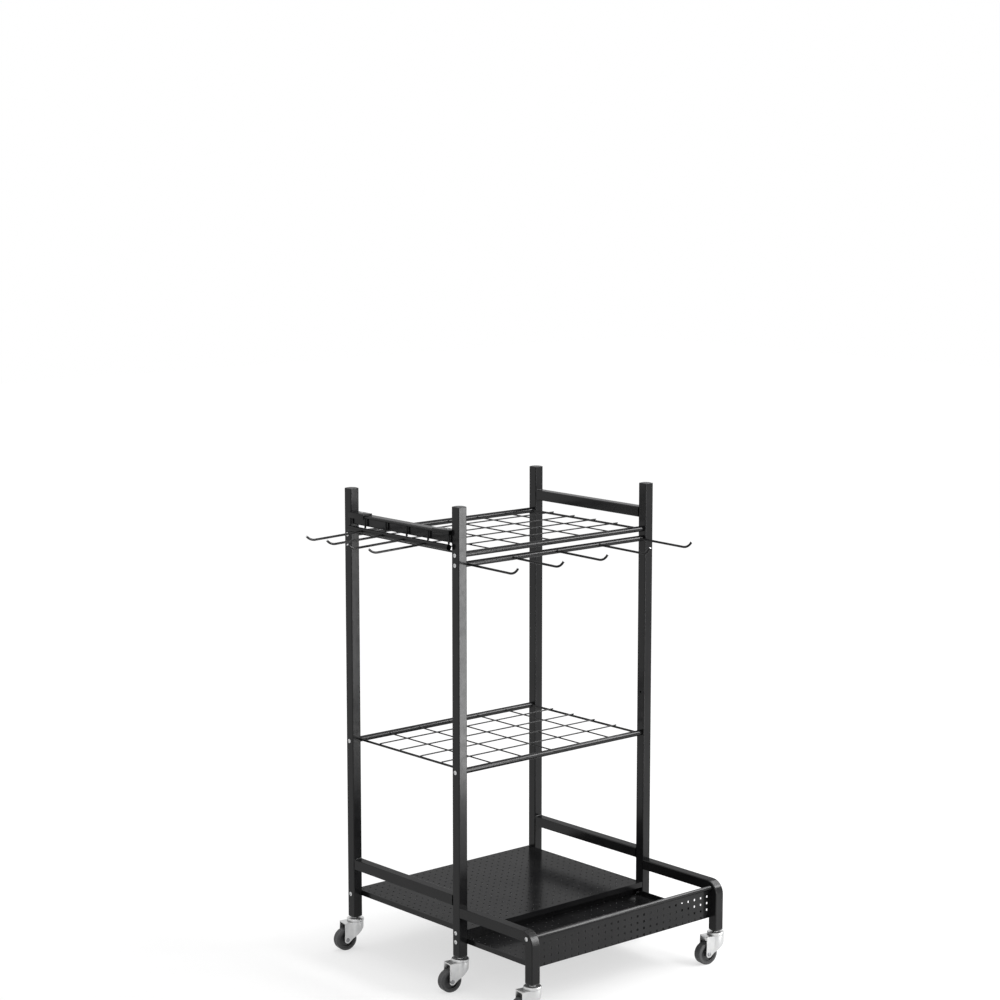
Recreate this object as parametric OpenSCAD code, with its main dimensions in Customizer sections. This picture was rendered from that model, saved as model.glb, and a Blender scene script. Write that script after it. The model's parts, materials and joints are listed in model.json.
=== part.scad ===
// Freestanding garden tool rack on six swivel casters.
// Four square posts carry two wire grids for long handles, a perforated shelf,
// a perforated front tray on two bent tubes, and hooks on the front and the left side.
// Millimetres. X runs across the rack, the front faces -Y, +Z is up.
// The origin is the centre of the rack's bounding box on the ground.

/* [Frame] */
// Distance between the post centres across the rack
span_x = 544; // [480:2:600]
// Distance between the post centres from front to rear
span_y = 368; // [340:2:420]
// Height of the post tops above the ground
rack_h = 1051; // [800:1:1400]
// Distance from the front posts to the legs of the front tray
tray_reach = 233; // [190:1:260]
// Distance from the post tops down to the middle of the top side rails
top_rail_drop = 67; // [50:1:75]
// Height of the middle of the bottom side rails
bottom_rail_z = 197.6; // [192:0.2:250]
// Height of the middle of the front tray's side tubes
tray_rail_z = 174.5; // [168:0.5:200]

/* [Tube stock] */
// Side of the square tube
tube_side = 23; // [21:0.5:23]
// Wall of the square tube
tube_wall = 1.2; // [1:0.1:1.5]
// Outer corner radius of the square tube
tube_corner = 2.2; // [1.8:0.1:3]
// Bend radius of the tray's side tubes, at the middle of the tube
tube_bend = 19; // [17:0.5:24]
// Diameter of the round tubes
round_d = 12.7; // [12:0.1:14]
// Wall of the round tubes
round_wall = 1.2; // [1:0.1:1.6]
// Length of the thick tapped end of a round tube
tapped_len = 16; // [14:1:24]

/* [Grids] */
// Distance from the post tops down to the round tubes that carry the upper grid
upper_drop = 103.5; // [98:0.5:106]
// Height of the round tubes that carry the middle grid
mid_z = 480.4; // [410:0.2:550]
// Diameter of the rods along both sides of a grid
rod_d = 5; // [4:0.5:6]
// Distance from a post's inner face to the middle of a side rod
rod_inset = 5; // [4:0.5:8]
// Diameter of the grid wires
wire_d = 3; // [2.5:0.1:4]
// Number of wires from front to rear
long_wires = 5; // [3:1:7]
// Distance between the wires from front to rear
long_pitch = 86.7; // [60:0.1:90]
// Number of wires across
cross_wires = 4; // [2:1:5]
// Distance between the wires across
cross_pitch = 71.5; // [50:0.5:85]

/* [Front hooks] */
// Distance from the post tops down to the bar that carries the front hooks
hook_bar_drop = 125; // [122:1:150]
// Diameter of the hook wire
hook_d = 5; // [4:0.5:6]
// Number of front hooks
front_hooks_n = 5; // [3:1:5]
// Distance between the front hooks
front_hook_pitch = 126; // [90:1:128]
// Straight length of a front hook
front_hook_run = 132; // [90:1:160]
// Slope of the front hooks below the horizontal, in degrees
front_hook_slope = 0.6; // [0:0.1:4]
// Bend radius of all the hooks, at the middle of the wire
hook_bend = 30; // [20:1:40]
// Angle through which the end of a front hook turns up
front_hook_turn = 60; // [40:1:80]

/* [Side hook rack] */
// Distance from the post tops down to the middle of the rack's round tube
side_tube_drop = 87.5; // [86:0.5:91]
// Diameter of the rack's frame wires
side_wire_d = 4.5; // [4:0.5:5]
// Gap between the top rail's outer face and the frame wires
side_wire_gap = 1.75; // [1:0.25:3]
// Gap between the rack's round tube and the posts
side_tube_gap = 1; // [0.5:0.1:2]
// Distance from the post faces to the frame's end wires
side_end_inset = 4; // [3:0.5:12]
// Corner radius of the frame's end wires, at the middle of the wire
side_corner = 7; // [5:0.5:10]
// Number of side hooks
side_hooks_n = 4; // [2:1:4]
// Distance between the side hooks
side_hook_pitch = 72; // [50:1:76]
// Distance from the front posts to the middle of the side hooks
side_hook_mid = 192; // [180:1:200]
// Straight length of a side hook
side_hook_run = 127; // [90:1:150]
// Slope of the side hooks below the horizontal, in degrees
side_hook_slope = 2; // [0:0.1:5]
// Angle through which the end of a side hook turns up
side_hook_turn = 50; // [30:1:80]
// Length of a clip along the rail
clip_len = 54; // [30:1:60]
// Thickness of a clip over the rail
clip_t = 4; // [3:0.5:6]
// Width of a clip on the rail, from the rail's outer face inwards
clip_seat = 17; // [14:0.5:18]
// Depth to which a clip reaches down outside the top wire
clip_drop = 8; // [5:0.5:12]
// Thickness of the clip outside the top wire
clip_lip = 2; // [1.5:0.1:3]

/* [Shelf and tray] */
// Thickness of the sheet of the shelf and the tray
sheet_t = 1.5; // [1:0.1:1.8]
// Height of the shelf's lower edge
shelf_z = 121.5; // [121:0.5:136]
// Height of the shelf's rim, which is turned down
shelf_lip = 12; // [11:0.5:20]
// Distance by which the shelf passes the middle of the posts
shelf_lap = 11; // [5:0.5:11.5]
// Height of the tray's underside
tray_z = 101.5; // [100.5:0.5:104]
// Height of the tray's side and rear rims
tray_lip = 11; // [10:0.5:18]
// Distance by which the tray's front panel stands in between the legs
panel_set = 3; // [2.5:0.5:5]
// Outer radius of the bend under the tray's front panel
tray_bend = 2; // [2:0.2:4]
// Height of the middle of the rolled rim on the front panel
rim_z = 171.4; // [170:0.2:174]
// Diameter of the rolled rim
rim_d = 9.5; // [7:0.5:10]
// Side of the square holes in the front panel
hole_side = 5.2; // [3:0.2:8]
// Side of the square holes in the floors
floor_hole_side = 3.8; // [3:0.2:8]
// Distance between the holes across the rack
hole_pitch_x = 19.4; // [15:0.2:30]
// Distance between the holes from front to rear
hole_pitch_y = 19.8; // [15:0.2:30]
// Distance between the holes up the panel
panel_pitch = 15; // [12:1:30]
// Least distance from a sheet's edge to the middle of a hole
hole_margin = 8; // [7:0.5:20]
// Distance from the tray's front bend to the lowest row of holes
panel_margin = 0.25; // [0.25:0.25:6]

/* [Fasteners and plugs] */
// Diameter of the screws
screw_d = 5; // [4:0.5:5.5]
// Diameter of a screw's head
screw_head_d = 9; // [8:0.5:10]
// Height of a screw's head
screw_head_h = 2.8; // [2:0.2:3.5]
// Length of thread in a tapped tube end
thread_len = 12; // [8:1:13]
// Length of a screw past the inside of a sheet
sheet_screw_tail = 4; // [2:0.5:8]
// Height of the screws in the tray's rim above its floor
sheet_screw_rise = 4.7; // [4.6:0.1:6]
// Diameter of the screws that hold the clips
clip_screw_d = 4; // [3:0.5:4.5]
// Length of the clip screws below the rail's top
clip_screw_tail = 8; // [4:1:14]
// Diameter of the spare hole in the front posts' inner faces
spare_hole_d = 5; // [4:0.5:8]
// Height of the spare hole
spare_hole_z = 574.5; // [510:0.5:630]
// Thickness of the post caps above the tube
cap_t = 2.2; // [1.5:0.1:4]
// Depth of the post caps' spigots
cap_depth = 12; // [8:1:20]
// Radius of the caps' domed tops
cap_dome = 80; // [60:5:200]
// Height of a plug below its tube
plug_lip = 4.5; // [3:0.5:8]
// Diameter of a plug at its lower end
plug_foot_d = 15; // [14:0.5:20]
// Depth of a plug in its tube
plug_depth = 20; // [12:1:21]

/* [Casters] */
// Diameter of the wheels
wheel_d = 50; // [46:1:52]
// Width of the wheels
wheel_w = 20; // [16:1:22]
// Thickness of the tyre
tyre_t = 6; // [4:0.5:8]
// Radius of the tyre's edges
tyre_edge = 3; // [1:0.5:4]
// Diameter of the hub's boss
hub_boss_d = 14; // [12:0.5:18]
// Thickness of the hub's web
hub_web_t = 8; // [6:0.5:12]
// Thickness of the hub's rim
hub_rim_t = 3; // [2:0.5:4]
// Distance from the tyre's side to the hub's rim
hub_rim_inset = 1; // [0.5:0.5:2.5]
// Distance from the swivel axis to the axle
trail = 26.5; // [26:0.5:32]
// Direction in which all the casters trail, in degrees from +X
caster_angle = 170; // [150:1:179]
// Diameter of the axle
axle_d = 6; // [5:0.5:7]
// Diameter of the axle's heads
axle_head_d = 9.5; // [8.5:0.5:11]
// Thickness of the axle's heads
axle_head_t = 1.2; // [0.8:0.1:2]
// Gap between the wheel's top and the fork's top plate
wheel_gap = 12; // [8:0.2:13]
// Thickness of the fork's sides and round front
fork_t = 1.8; // [1.5:0.1:2.5]
// Thickness of the fork's top plate
fork_top_t = 2.6; // [2:0.1:3.5]
// Diameter of the fork's round front
fork_round_d = 37; // [34:0.5:38]
// Gap between the wheel's side and the fork's sides
fork_side_gap = 2.4; // [1:0.1:3]
// Height of the fork's round front
fork_front_h = 11.5; // [8:0.5:16]
// Distance from the axle to the fork's rear edge at the top
fork_rear = 6; // [4:0.5:8]
// Radius of the fork's sides around the axle
fork_boss = 7.5; // [6:0.5:9]
// Gap between the fork's top plate and the bearing cup
cup_gap = 0.8; // [0.3:0.1:1.5]
// Diameter of the bearing cup
cup_d = 39; // [38:0.5:42]
// Height of the bearing cup
cup_h = 5.5; // [5:0.5:8]
// Radius of the bearing cup's upper edge
cup_edge = 2.5; // [1:0.5:4]
// Diameter of the kingpin
kingpin_d = 8; // [7:0.5:10]
// Diameter of the kingpin's head
kingpin_head_d = 13; // [12:0.5:15]
// Thickness of the kingpin's head
kingpin_head_t = 2.4; // [1.5:0.1:3]
// Diameter of the threaded stem
stem_d = 9.5; // [8:0.5:11]
// Height of the threaded stem above its washer
stem_len = 24; // [18:1:25]
// Diameter of the washer on the bearing cup
washer_d = 14; // [13:0.5:18]
// Thickness of the washer on the bearing cup
washer_t = 1; // [0.8:0.1:2]

/* [Fits] */
// Running clearance of an axle or a kingpin in its bore, on the radius
run_fit = 0.05; // [0.03:0.01:0.08]
// Gap between faces that turn past each other
face_gap = 0.3; // [0.2:0.05:0.5]
// Clearance of a plug, a stem or a screw in its hole, on the radius
slip_fit = 0.1; // [0.05:0.05:0.2]
// Clearance of a screw in the hole through a post, on the radius
screw_play = 0.2; // [0.1:0.05:0.5]

/* [Hidden] */
corners = ["front_left", "front_right", "rear_left", "rear_right", "tray_left", "tray_right"];

// Colours
coat = "#2f2f31";
zinc = "#c4c6c8";
dark_rubber = "#3a3a3c";
black_plastic = "#1c1c1e";

// Smoothness of the curves in a preview
fine = 48;
wire_fine = 24;
// Overlap that joins solids of one piece, and makes cuts run past their faces
over = 0.5;
// Screw heads: radius of the dome, and length and width of the slots, as shares of the diameter
head_dome = 0.9;
head_slot = [0.5, 0.12];

// Caster heights, from the ground up
axle_z = wheel_d / 2;
fork_under = wheel_d + wheel_gap;
fork_top = fork_under + fork_top_t;
cup_z = fork_top + cup_gap;
cup_top = cup_z + cup_h;
washer_top = cup_top + washer_t;
leg_foot = washer_top + plug_lip;
fork_in = wheel_w / 2 + fork_side_gap;
fork_out = fork_in + fork_t;
fork_r = fork_round_d / 2;
fork_reach = trail + max(fork_rear, fork_boss);
axle_end = fork_out + axle_head_t;

// Screw and hook places
post_face = tube_side / 2;
top_rail_z = rack_h - top_rail_drop;
upper_z = rack_h - upper_drop;
hook_bar_z = rack_h - hook_bar_drop;
side_tube_z = rack_h - side_tube_drop;
side_wire_out = post_face + side_wire_gap + side_wire_d / 2;
side_tube_out = post_face + round_d / 2;
side_top_wire_z = top_rail_z + (tube_side - side_wire_d) / 2;
side_hook_reach = side_tube_out + round_d / 2 * cos(side_hook_slope)
    + side_hook_run * cos(side_hook_slope)
    + hook_bend * (sin(side_hook_slope) + sin(side_hook_turn - side_hook_slope))
    + hook_d / 2 * sin(max(side_hook_turn - side_hook_slope, 0));

// The rack's bounding box, measured from the front left post
axle_swing = (trail + axle_head_d / 2) * sin(caster_angle) - axle_end * cos(caster_angle);
fork_swing = fork_reach * sin(caster_angle) - fork_out * cos(caster_angle);
box_left = -side_hook_reach;
box_right = span_x + cup_d / 2;
box_front = -tray_reach - cup_d / 2;
box_rear = span_y + max(cup_d / 2, axle_swing, fork_swing);

// Places of the posts and the tray legs
left_x = -(box_left + box_right) / 2;
right_x = left_x + span_x;
front_y = -(box_front + box_rear) / 2;
rear_y = front_y + span_y;
leg_y = front_y - tray_reach;
mid_x = left_x + span_x / 2;
mid_y = front_y + span_y / 2;
post_places = [[left_x, front_y], [right_x, front_y], [left_x, rear_y], [right_x, rear_y]];
leg_places = concat(post_places, [[left_x, leg_y], [right_x, leg_y]]);
inner_w = span_x - tube_side;
inner_d = span_y - tube_side;

// Grid heights above the round tubes: the cross wires lie on the rods and the long wires
cross_rise = (rod_d + wire_d) / 2;
long_rise = cross_rise - wire_d;
rod_len = span_y - round_d;

// Tray outline
tray_front = leg_y + post_face - panel_set;
tray_rear = front_y + post_face;
tray_d = tray_rear - tray_front;
rim_y = tray_front + sheet_t - rim_d / 2;
panel_foot = tray_z + tray_bend;
panel_h = rim_z - panel_foot;
shelf_d = span_y + 2 * shelf_lap;
shelf_floor_z = shelf_z + shelf_lip - sheet_t;
shelf_screw_z = shelf_z + shelf_lip / 2;
tray_screw_z = tray_z + sheet_t + sheet_screw_rise;

// Screws that run along X: side, place along Y, height
tube_screws = [
    for (s = [-1, 1]) each [
        [s, front_y, upper_z], [s, front_y, hook_bar_z], [s, front_y, mid_z],
        [s, rear_y, upper_z], [s, rear_y, mid_z], [s, rim_y, rim_z]
    ]
];
sheet_screws = [
    for (s = [-1, 1]) each [
        [s, front_y, shelf_screw_z], [s, rear_y, shelf_screw_z], [s, front_y, tray_screw_z]
    ]
];

// Square with round corners
module round_square(side, corner) {
    flat = side - 2 * corner;
    square([side, flat], center = true);
    square([flat, side], center = true);
    for (x = [-1, 1], y = [-1, 1])
        translate([x * flat / 2, y * flat / 2]) circle(r = corner, $fn = wire_fine);
}

// Section of the square tube
module tube_section() {
    difference() {
        round_square(tube_side, tube_corner);
        round_square(tube_side - 2 * tube_wall, tube_corner - tube_wall);
    }
}

// Round bar along Y from the origin
module bar_y(d, len) {
    rotate([-90, 0, 0]) cylinder(d = d, h = len, $fn = fine);
}

// Round bar along X from the origin
module bar_x(d, len) {
    rotate([0, 90, 0]) cylinder(d = d, h = len, $fn = fine);
}

// Holes through the rack's side for a list of screws
module screw_holes(screws, d) {
    for (s = screws)
        translate([mid_x + s[0] * span_x / 2 - tube_side, s[1], s[2]])
            bar_x(d, 2 * tube_side);
}

module post(index) {
    at = post_places[index];
    inward = at.x < mid_x ? 1 : -1;
    front = at.y < mid_y;
    color(coat) difference() {
        translate([at.x, at.y, leg_foot])
            linear_extrude(height = rack_h - cap_t - leg_foot) tube_section();
        screw_holes(concat(tube_screws, sheet_screws), screw_d + 2 * screw_play);
        if (front) {
            translate([at.x, at.y - tube_side, tray_rail_z])
                bar_y(screw_d + 2 * screw_play, 2 * tube_side);
            translate([at.x + min(inward, 0) * tube_side, at.y, spare_hole_z])
                bar_x(spare_hole_d, tube_side);
        }
    }
}

// Side rail between the posts of one side, with a hole in its top for each screw of a clip
module side_rail(x, z, screws = []) {
    depth = clip_screw_tail + over;
    color(coat) difference() {
        translate([x, front_y + post_face, z])
            rotate([-90, 0, 0]) linear_extrude(height = inner_d) tube_section();
        for (y = screws)
            translate([clip_screw_x, y, rail_top - depth])
                cylinder(d = clip_screw_d + 2 * slip_fit, h = depth + over, $fn = fine);
    }
}

// Tube from a front post forwards, bent down into a leg
module tray_rail(x) {
    run = tray_reach - post_face - tube_bend;
    drop = tray_rail_z - tube_bend - leg_foot;
    plug = tube_side - tube_wall;
    color(coat) difference() {
        union() {
            translate([x, front_y - post_face - run, tray_rail_z])
                rotate([-90, 0, 0]) linear_extrude(height = run) tube_section();
            translate([x, leg_y + tube_bend, tray_rail_z - tube_bend])
                rotate([180, -90, 0]) rotate_extrude(angle = 90, $fn = fine)
                translate([tube_bend, 0]) tube_section();
            translate([x, leg_y, leg_foot])
                linear_extrude(height = drop) tube_section();
            translate([x, front_y - post_face - tapped_len / 2, tray_rail_z])
                cube([plug, tapped_len, plug], center = true);
        }
        screw_holes([for (s = tube_screws) if (s[1] == rim_y) s], screw_d + 2 * screw_play);
        translate([x, front_y - post_face - tapped_len - over, tray_rail_z])
            bar_y(screw_d + 2 * slip_fit, tapped_len + 2 * over);
    }
}

// Round tube between two posts, with a tapped end on both sides
module cross_tube(y, z) {
    bore = round_d - 2 * round_wall;
    color(coat) translate([mid_x - inner_w / 2, y, z]) difference() {
        bar_x(round_d, inner_w);
        translate([tapped_len, 0, 0]) bar_x(bore, inner_w - 2 * tapped_len);
        translate([-over, 0, 0]) bar_x(screw_d + 2 * slip_fit, inner_w + 2 * over);
    }
}

// Rods from the front tube to the rear tube along both sides of a grid
module grid_rods(z) {
    reach = inner_w / 2 - rod_inset;
    color(coat) for (s = [-1, 1])
        translate([mid_x + s * reach, front_y + round_d / 2, z]) bar_y(rod_d, rod_len);
}

// Grid wires from front to rear
module grid_long_wires(z) {
    color(coat) for (i = [0 : long_wires - 1])
        translate([
            mid_x + (i - (long_wires - 1) / 2) * long_pitch,
            front_y + round_d / 2,
            z + long_rise
        ]) bar_y(wire_d, rod_len);
}

// Grid wires across, on top of the rods
module grid_cross_wires(z) {
    len = inner_w - 2 * rod_inset + rod_d;
    color(coat) for (i = [0 : cross_wires - 1])
        translate([
            mid_x - len / 2,
            mid_y + (i - (cross_wires - 1) / 2) * cross_pitch,
            z + cross_rise
        ]) bar_x(wire_d, len);
}

// Hook that starts at a tube's middle, runs along -Y and turns up at its end
module hook(run, slope, turn) {
    rotate([slope, 0, 0]) {
        translate([0, -round_d / 2 - run, 0]) bar_y(hook_d, run);
        translate([0, -round_d / 2 - run, hook_bend])
            rotate([0, -90, 0]) rotate([0, 0, 180])
            rotate_extrude(angle = turn, $fn = fine)
            translate([hook_bend, 0]) circle(d = hook_d, $fn = wire_fine);
    }
}

module front_hooks() {
    color(coat) for (i = [0 : front_hooks_n - 1])
        translate([mid_x + (i - (front_hooks_n - 1) / 2) * front_hook_pitch, front_y, hook_bar_z])
            hook(front_hook_run, front_hook_slope, front_hook_turn);
}

// How many holes with this pitch fit in this length
function hole_count(len, pitch) = floor((len - 2 * hole_margin) / pitch) + 1;

// Perforated sheet whose front edge is centred on the origin, with its first row this far in
module perforated_sheet(w, d, first, rows, side, pitch) {
    columns = hole_count(w, hole_pitch_x);
    linear_extrude(height = sheet_t) difference() {
        translate([-w / 2, 0]) square([w, d]);
        for (i = [0 : columns - 1], j = [0 : rows - 1])
            translate([
                (i - (columns - 1) / 2) * hole_pitch_x - side / 2,
                first + j * pitch - side / 2
            ]) square(side);
    }
}

// Perforated floor with its rows centred
module perforated_floor(w, d) {
    rows = hole_count(d, hole_pitch_y);
    first = (d - (rows - 1) * hole_pitch_y) / 2;
    perforated_sheet(w, d, first, rows, floor_hole_side, hole_pitch_y);
}

module shelf() {
    color(coat) {
        translate([mid_x, mid_y - shelf_d / 2, shelf_floor_z])
            perforated_floor(inner_w, shelf_d);
        difference() {
            translate([mid_x, mid_y, shelf_z])
                linear_extrude(height = shelf_lip) difference() {
                    square([inner_w, shelf_d], center = true);
                    square([inner_w - 2 * sheet_t, shelf_d - 2 * sheet_t], center = true);
                }
            screw_holes(sheet_screws, screw_d + 2 * slip_fit);
        }
    }
}

// Lower front corner of the tray, seen from the side: a filled quarter of its bend
module tray_corner(r) {
    intersection() {
        circle(r = r, $fn = fine);
        translate([-r, -r]) square(r);
    }
}

// Rim of the tray's side, seen from the side
module tray_side_outline() {
    translate([tray_bend, 0]) square([tray_d - tray_bend, tray_lip]);
    translate([0, tray_bend]) square([tray_d, tray_lip - tray_bend]);
    translate([tray_bend, tray_bend]) tray_corner(tray_bend);
}

// Front bend, rolled rim and rear rim of the tray, seen from the side
module tray_end_outline() {
    difference() {
        translate([tray_bend, tray_bend]) tray_corner(tray_bend);
        translate([tray_bend, tray_bend]) circle(r = tray_bend - sheet_t, $fn = fine);
    }
    translate([rim_y - tray_front, rim_z - tray_z]) circle(d = rim_d, $fn = fine);
    translate([tray_d - sheet_t, 0]) square([sheet_t, tray_lip]);
}

// Turns an outline in Y and Z into a solid along X
module along_x(x, w) {
    translate([x, tray_front, tray_z])
        rotate([90, 0, 90]) linear_extrude(height = w) children();
}

module tray() {
    left = mid_x - inner_w / 2;
    first = panel_margin + hole_side / 2;
    rows = floor((panel_h - rim_d / 2 - hole_side / 2 - first) / panel_pitch) + 1;
    color(coat) {
        translate([mid_x, tray_front + tray_bend, tray_z])
            perforated_floor(inner_w, tray_d - tray_bend);
        translate([mid_x, tray_front + sheet_t, panel_foot])
            rotate([90, 0, 0])
                perforated_sheet(inner_w, panel_h, first, rows, hole_side, panel_pitch);
        difference() {
            union() {
                along_x(left, inner_w) tray_end_outline();
                along_x(left, sheet_t) tray_side_outline();
                along_x(left + inner_w - sheet_t, sheet_t) tray_side_outline();
            }
            screw_holes(sheet_screws, screw_d + 2 * slip_fit);
            for (s = [-1, 1])
                translate([mid_x + s * inner_w / 2 - tapped_len, rim_y, rim_z])
                    bar_x(screw_d + 2 * slip_fit, 2 * tapped_len);
        }
    }
}

// Side hook rack: a round tube outside the posts, below the top rail
module side_rack_tube() {
    len = inner_d - 2 * side_tube_gap;
    color(coat)
        translate([left_x - side_tube_out, front_y + post_face + side_tube_gap, side_tube_z])
        difference() {
            bar_y(round_d, len);
            translate([0, -over, 0]) bar_y(round_d - 2 * round_wall, len + 2 * over);
        }
}

// Height at which an upright wire meets the rack's round tube
side_wire_foot = side_tube_z + sqrt(
    pow(round_d / 2, 2) - pow(max(side_tube_out - side_wire_out - side_wire_d / 2, 0), 2));

// Upright wire of the side hook rack
module upright(y, top) {
    translate([left_x - side_wire_out, y, side_wire_foot])
        cylinder(d = side_wire_d, h = top - side_wire_foot, $fn = wire_fine);
}

// Bent end of the wire frame: a quarter bend at this place along the rail, and an upright
module frame_end(y, y_upright, turn) {
    translate([left_x - side_wire_out, y, side_top_wire_z - side_corner])
        rotate([turn, -90, 0]) rotate_extrude(angle = 90, $fn = fine)
        translate([side_corner, 0]) circle(d = side_wire_d, $fn = wire_fine);
    upright(y_upright, side_top_wire_z - side_corner);
}

// Wire frame of the side hook rack: a top wire bent down at both ends, and one upright a hook
module side_rack_wires() {
    first = front_y + post_face + side_end_inset;
    last = rear_y - post_face - side_end_inset;
    color(coat) {
        union() {
            translate([left_x - side_wire_out, first + side_corner, side_top_wire_z])
                bar_y(side_wire_d, last - first - 2 * side_corner);
            frame_end(first + side_corner, first, 180);
        }
        frame_end(last - side_corner, last, 0);
        for (i = [0 : side_hooks_n - 1])
            upright(
                front_y + side_hook_mid + (i - (side_hooks_n - 1) / 2) * side_hook_pitch,
                side_top_wire_z - side_wire_d / 2
            );
    }
}

module side_hooks() {
    color(coat) for (i = [0 : side_hooks_n - 1])
        translate([
            left_x - side_tube_out,
            front_y + side_hook_mid + (i - (side_hooks_n - 1) / 2) * side_hook_pitch,
            side_tube_z
        ]) rotate([0, 0, -90]) hook(side_hook_run, side_hook_slope, side_hook_turn);
}

// Places of the two clips along the rail
clip_places = [front_y + post_face + clip_len / 2, rear_y - post_face - clip_len / 2];
clip_screw_x = left_x - post_face + clip_seat / 2;
rail_top = top_rail_z + tube_side / 2;

// Clips that hold the side rack's top wire to the top rail
module rack_clips() {
    outside = side_wire_gap + side_wire_d + clip_lip;
    color(coat) for (y = clip_places) difference() {
        union() {
            translate([left_x - post_face - outside, y - clip_len / 2, rail_top])
                cube([outside + clip_seat, clip_len, clip_t]);
            translate([left_x - post_face - outside, y - clip_len / 2, rail_top - clip_drop])
                cube([clip_lip, clip_len, clip_drop + over]);
        }
        translate([clip_screw_x, y, rail_top - over])
            cylinder(d = clip_screw_d + 2 * slip_fit, h = clip_t + 2 * over, $fn = fine);
    }
}

// Pan head screw along Z: the head stands on the origin and the shank points down
module screw(d, head_d, shank) {
    dome = head_d * head_dome;
    slot = [head_d * head_slot.x, head_d * head_slot.y, screw_head_h];
    translate([0, 0, -shank]) cylinder(d = d, h = shank + over, $fn = fine);
    difference() {
        intersection() {
            cylinder(d = head_d, h = screw_head_h, $fn = fine);
            translate([0, 0, screw_head_h - dome]) sphere(r = dome, $fn = fine);
        }
        for (turn = [0, 90])
            translate([0, 0, screw_head_h]) rotate([0, 0, turn]) cube(slot, center = true);
    }
}

// Screws through the posts, with their heads on the rack's left and right faces
module side_screws(screws, shank) {
    for (s = screws)
        translate([mid_x + s[0] * (span_x / 2 + post_face), s[1], s[2]])
            rotate([0, s[0] * 90, 0]) screw(screw_d, screw_head_d, shank);
}

module frame_screws() {
    color(zinc) {
        side_screws(tube_screws, tube_side + thread_len);
        side_screws(sheet_screws, tube_side + sheet_t + sheet_screw_tail);
    }
}

// Screws through the front posts into the tray's side tubes
module tray_screws() {
    color(zinc) for (x = [left_x, right_x])
        translate([x, front_y + post_face, tray_rail_z])
            rotate([-90, 0, 0]) screw(screw_d, screw_head_d, tube_side + thread_len);
}

module clip_screws() {
    color(zinc) for (y = clip_places)
        translate([clip_screw_x, y, rail_top + clip_t])
            screw(clip_screw_d, 2 * clip_screw_d, clip_t + clip_screw_tail);
}

// Caps on the four posts
module post_caps() {
    spigot = tube_side - 2 * tube_wall - 2 * slip_fit;
    color(black_plastic) for (at = post_places) translate([at.x, at.y, rack_h - cap_t]) {
        intersection() {
            linear_extrude(height = cap_t) round_square(tube_side, tube_corner);
            translate([0, 0, cap_t - cap_dome]) sphere(r = cap_dome, $fn = fine);
        }
        translate([-spigot / 2, -spigot / 2, -cap_depth])
            cube([spigot, spigot, cap_depth + over]);
    }
}

// Plugs in the tube ends that hold the casters' stems
module leg_plugs() {
    body = tube_side - 2 * tube_wall - 2 * slip_fit;
    wide = tube_side * sqrt(2);
    color(black_plastic) for (at = leg_places) translate([at.x, at.y, leg_foot - plug_lip])
        difference() {
            union() {
                intersection() {
                    linear_extrude(height = plug_lip) round_square(tube_side, tube_corner);
                    cylinder(d1 = plug_foot_d, d2 = wide, h = plug_lip, $fn = fine);
                }
                translate([-body / 2, -body / 2, plug_lip - over])
                    cube([body, body, plug_depth + over]);
            }
            translate([0, 0, -over])
                cylinder(d = stem_d + 2 * slip_fit, h = plug_lip + plug_depth + 2 * over, $fn = fine);
        }
}

// Stem, washer, bearing cup and kingpin of every caster
module caster_stems() {
    color(zinc) for (at = leg_places) translate([at.x, at.y, 0]) {
        translate([0, 0, cup_top]) {
            cylinder(d = washer_d, h = washer_t, $fn = fine);
            cylinder(d = stem_d, h = washer_t + stem_len, $fn = fine);
        }
        rotate_extrude($fn = fine) {
            translate([0, cup_z]) square([cup_d / 2, cup_h - cup_edge]);
            translate([0, cup_z]) square([cup_d / 2 - cup_edge, cup_h]);
            translate([cup_d / 2 - cup_edge, cup_top - cup_edge])
                circle(r = cup_edge, $fn = wire_fine);
        }
        translate([0, 0, fork_under - face_gap])
            cylinder(d = kingpin_d, h = cup_z - fork_under + face_gap + over, $fn = fine);
        translate([0, 0, fork_under - face_gap - kingpin_head_t])
            cylinder(d = kingpin_head_d, h = kingpin_head_t, $fn = fine);
    }
}

// Point where a line from a point touches a circle
function touch(from, centre, r, side) =
    let (d = from - centre, t = atan2(d.y, d.x) + side * acos(r / norm(d)))
    centre + r * [cos(t), sin(t)];

front_foot = [-fork_r, fork_top - fork_front_h];
rear_top = [trail + fork_rear, fork_top];
axle_at = [trail, axle_z];

// Fork seen from the side: straight under its round front, then around the axle
module fork_outline() {
    polygon([
        [-fork_r, fork_top], front_foot, touch(front_foot, axle_at, fork_boss, 1),
        axle_at, touch(rear_top, axle_at, fork_boss, -1), rear_top
    ]);
    translate(axle_at) circle(r = fork_boss, $fn = fine);
}

// Fork seen from above: a round front with straight sides behind it, drawn in by this much
module fork_plan(inset, reach) {
    half = fork_out - inset;
    circle(r = fork_r - inset, $fn = fine);
    translate([0, -half]) square([reach, 2 * half]);
}

// Turns an outline of a caster into a solid across it, between two places
module across(low, high) {
    translate([0, high, 0]) rotate([90, 0, 0]) linear_extrude(height = high - low) children();
}

// Turns a caster piece into its place under one leg
module at_caster(index) {
    translate([leg_places[index].x, leg_places[index].y, 0]) rotate([0, 0, caster_angle]) children();
}

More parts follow.
